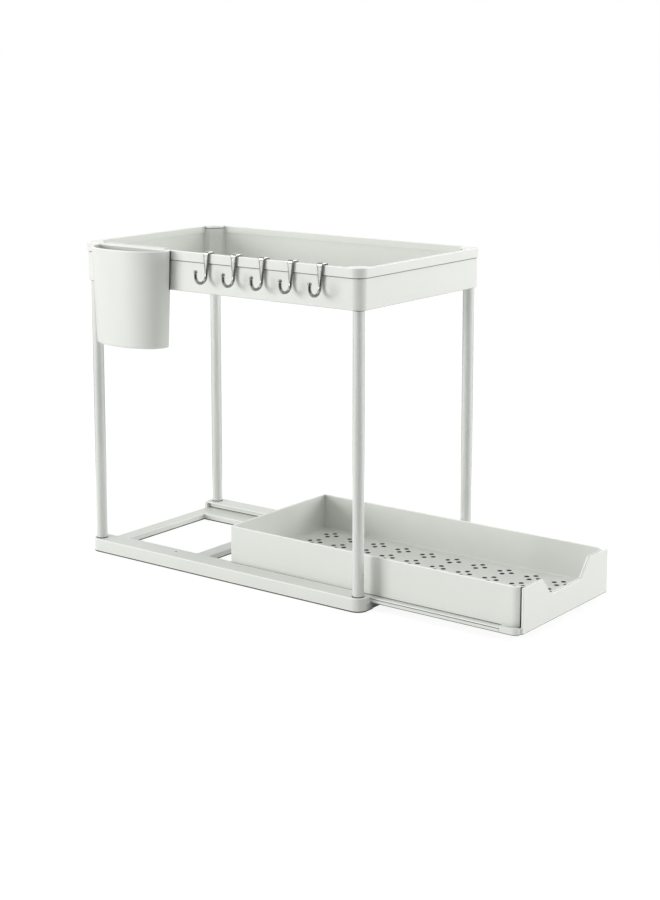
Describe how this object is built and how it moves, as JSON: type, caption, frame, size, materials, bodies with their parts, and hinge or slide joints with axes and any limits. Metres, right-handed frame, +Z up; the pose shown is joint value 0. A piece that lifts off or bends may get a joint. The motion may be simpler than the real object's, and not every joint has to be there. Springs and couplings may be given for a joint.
{
  "type": "under sink organizer",
  "caption": "Two-tier cupboard organizer: a shelf on posts over a low base, with a pull-out drawer, a hanging cup and lift-off hooks.",
  "frame": {"origin": "on the floor, under the centre of the base's outline; the pulled-out drawer, the cup and the hooks are left out of that outline", "axes": "+Z up; the drawer pulls out towards -Y; the cup and the hooks hang on the -X side"},
  "size_m": [0.2709, 0.5863, 0.3759],
  "materials": {
    "white_plastic": "satin",
    "post_enamel": "semi-gloss",
    "hook_steel": "polished",
    "pad_silicone": "matte"
  },
  "bodies": {
    "frame": {"base_frame": "white_plastic", "left_rail": "white_plastic", "right_rail": "white_plastic", "foot_pads": "pad_silicone", "post_front_left": "post_enamel", "post_front_right": "post_enamel", "post_back_left": "post_enamel", "post_back_right": "post_enamel", "shelf_tray": "white_plastic", "shelf_rim": "white_plastic"},
    "drawer": {"drawer_body": "white_plastic", "drawer_front_panel": "white_plastic", "left_runner": "white_plastic", "right_runner": "white_plastic"},
    "cup": {"hanging_cup": "white_plastic"},
    "hook_a": {"hook_1": "hook_steel"},
    "hook_b": {"hook_2": "hook_steel"},
    "hook_c": {"hook_3": "hook_steel"},
    "hook_d": {"hook_4": "hook_steel"},
    "hook_e": {"hook_5": "hook_steel"}
  },
  "joints": [
    {"name": "drawer_slide", "type": "slide", "parent": "frame", "child": "drawer", "axis": [0, -1, 0], "range_m": [-0.185, 0.015]},
    {"name": "cup_lift", "type": "slide", "parent": "frame", "child": "cup", "axis": [0, 0, 1], "range_m": [0, 0.05]},
    {"name": "hook_a_lift", "type": "slide", "parent": "frame", "child": "hook_a", "axis": [0, 0, 1], "range_m": [0, 0.03]},
    {"name": "hook_b_lift", "type": "slide", "parent": "frame", "child": "hook_b", "axis": [0, 0, 1], "range_m": [0, 0.03]},
    {"name": "hook_c_lift", "type": "slide", "parent": "frame", "child": "hook_c", "axis": [0, 0, 1], "range_m": [0, 0.03]},
    {"name": "hook_d_lift", "type": "slide", "parent": "frame", "child": "hook_d", "axis": [0, 0, 1], "range_m": [0, 0.03]},
    {"name": "hook_e_lift", "type": "slide", "parent": "frame", "child": "hook_e", "axis": [0, 0, 1], "range_m": [0, 0.03]}
  ]
}
